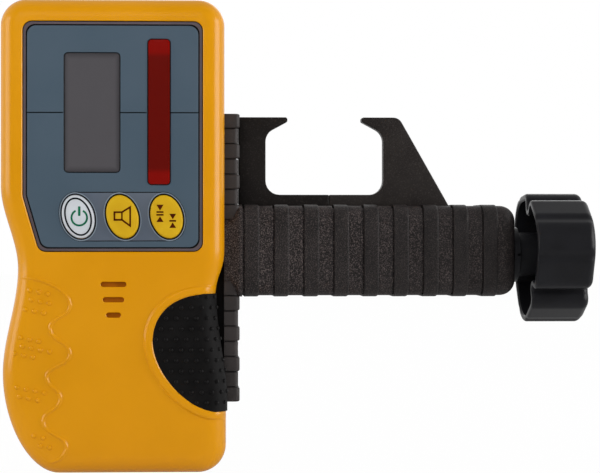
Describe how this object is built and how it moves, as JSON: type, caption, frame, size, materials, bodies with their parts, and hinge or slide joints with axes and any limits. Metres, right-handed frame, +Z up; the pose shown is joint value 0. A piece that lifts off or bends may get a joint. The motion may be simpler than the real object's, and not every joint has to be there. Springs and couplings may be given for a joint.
{
  "type": "laser receiver",
  "caption": "Hand-held laser receiver with display, red sensor window, oval keys and thumb pad, joined to a ribbed clamp arm with a screw-driven sliding jaw",
  "frame": {"origin": "on the flat back face, at the height of the on-grade index line and on the housing centre line", "axes": "+X right as seen from the front, +Y from the front face to the back face, +Z up"},
  "size_m": [0.2014, 0.0451, 0.16],
  "materials": {
    "orange_shell": "satin moulded plastic, orange-yellow",
    "black_rubber": "soft black rubber",
    "grey_panel": "grey-blue satin panel",
    "display_glass": "grey-tinted clear window",
    "display_cell": "unlit display cell",
    "red_filter": "deep red filter plastic",
    "green_board": "green circuit board",
    "switch_plastic": "dark moulded plastic",
    "white_key": "white satin key",
    "yellow_key": "yellow satin key",
    "steel": "plain zinc-plated steel",
    "cell_jacket": "plain dark cell jacket",
    "brass": "turned brass",
    "textured_black": "grained black plastic",
    "jaw_metal": "black coated metal plate",
    "white_nylon": "natural nylon",
    "knob_black": "smooth black plastic"
  },
  "bodies": {
    "receiver": {"front_shell": "orange_shell", "rear_shell": "orange_shell", "shell_gasket": "black_rubber", "front_panel": "grey_panel", "display_window": "display_glass", "display_module": "display_cell", "sensor_window": "red_filter", "sensor_board": "green_board", "main_board": "green_board", "tact_switches": "switch_plastic", "buzzer": "switch_plastic", "thumb_pad": "black_rubber", "door_pin": "steel", "battery_cells": "cell_jacket", "battery_springs": "steel", "battery_plates": "steel", "housing_screws": "steel", "clamp_inserts": "brass", "clamp_screws": "steel", "clamp_body": "textured_black", "fixed_jaw": "jaw_metal", "jaw_screws": "steel", "thrust_washer": "white_nylon", "end_plug": "textured_black", "screw_bush": "textured_black", "bush_screws": "steel"},
    "power_key": {"power_button": "white_key"},
    "sound_key": {"sound_button": "yellow_key"},
    "precision_key": {"precision_button": "yellow_key"},
    "door": {"battery_door": "orange_shell"},
    "drive": {"knob": "knob_black", "knob_screw": "steel", "lead_screw": "steel"},
    "jaw": {"sliding_jaw": "jaw_metal", "lead_nut": "brass"}
  },
  "joints": [
    {"name": "power_press", "type": "slide", "parent": "receiver", "child": "power_key", "axis": [0, 1, 0], "range_m": [0, 0.0005], "stiffness_N_per_m": 2000},
    {"name": "sound_press", "type": "slide", "parent": "receiver", "child": "sound_key", "axis": [0, 1, 0], "range_m": [0, 0.0005], "stiffness_N_per_m": 2000},
    {"name": "precision_press", "type": "slide", "parent": "receiver", "child": "precision_key", "axis": [0, 1, 0], "range_m": [0, 0.0005], "stiffness_N_per_m": 2000},
    {"name": "door_hinge", "type": "hinge", "parent": "receiver", "child": "door", "pos_m": [0, -0.00178, -0.11636], "axis": [-1, 0, 0], "range_deg": [0, 95]},
    {"name": "knob_turn", "type": "hinge", "parent": "receiver", "child": "drive", "pos_m": [0.15, -0.014, -0.0479], "axis": [1, 0, 0], "range_deg": [0, 2160]},
    {"name": "jaw_slide", "type": "slide", "parent": "receiver", "child": "jaw", "axis": [1, 0, 0], "range_m": [0, 0.015]}
  ],
  "couplings": [
    {"joint": "jaw_slide", "follows": "knob_turn", "m_per_rad": 0.00039789}
  ]
}
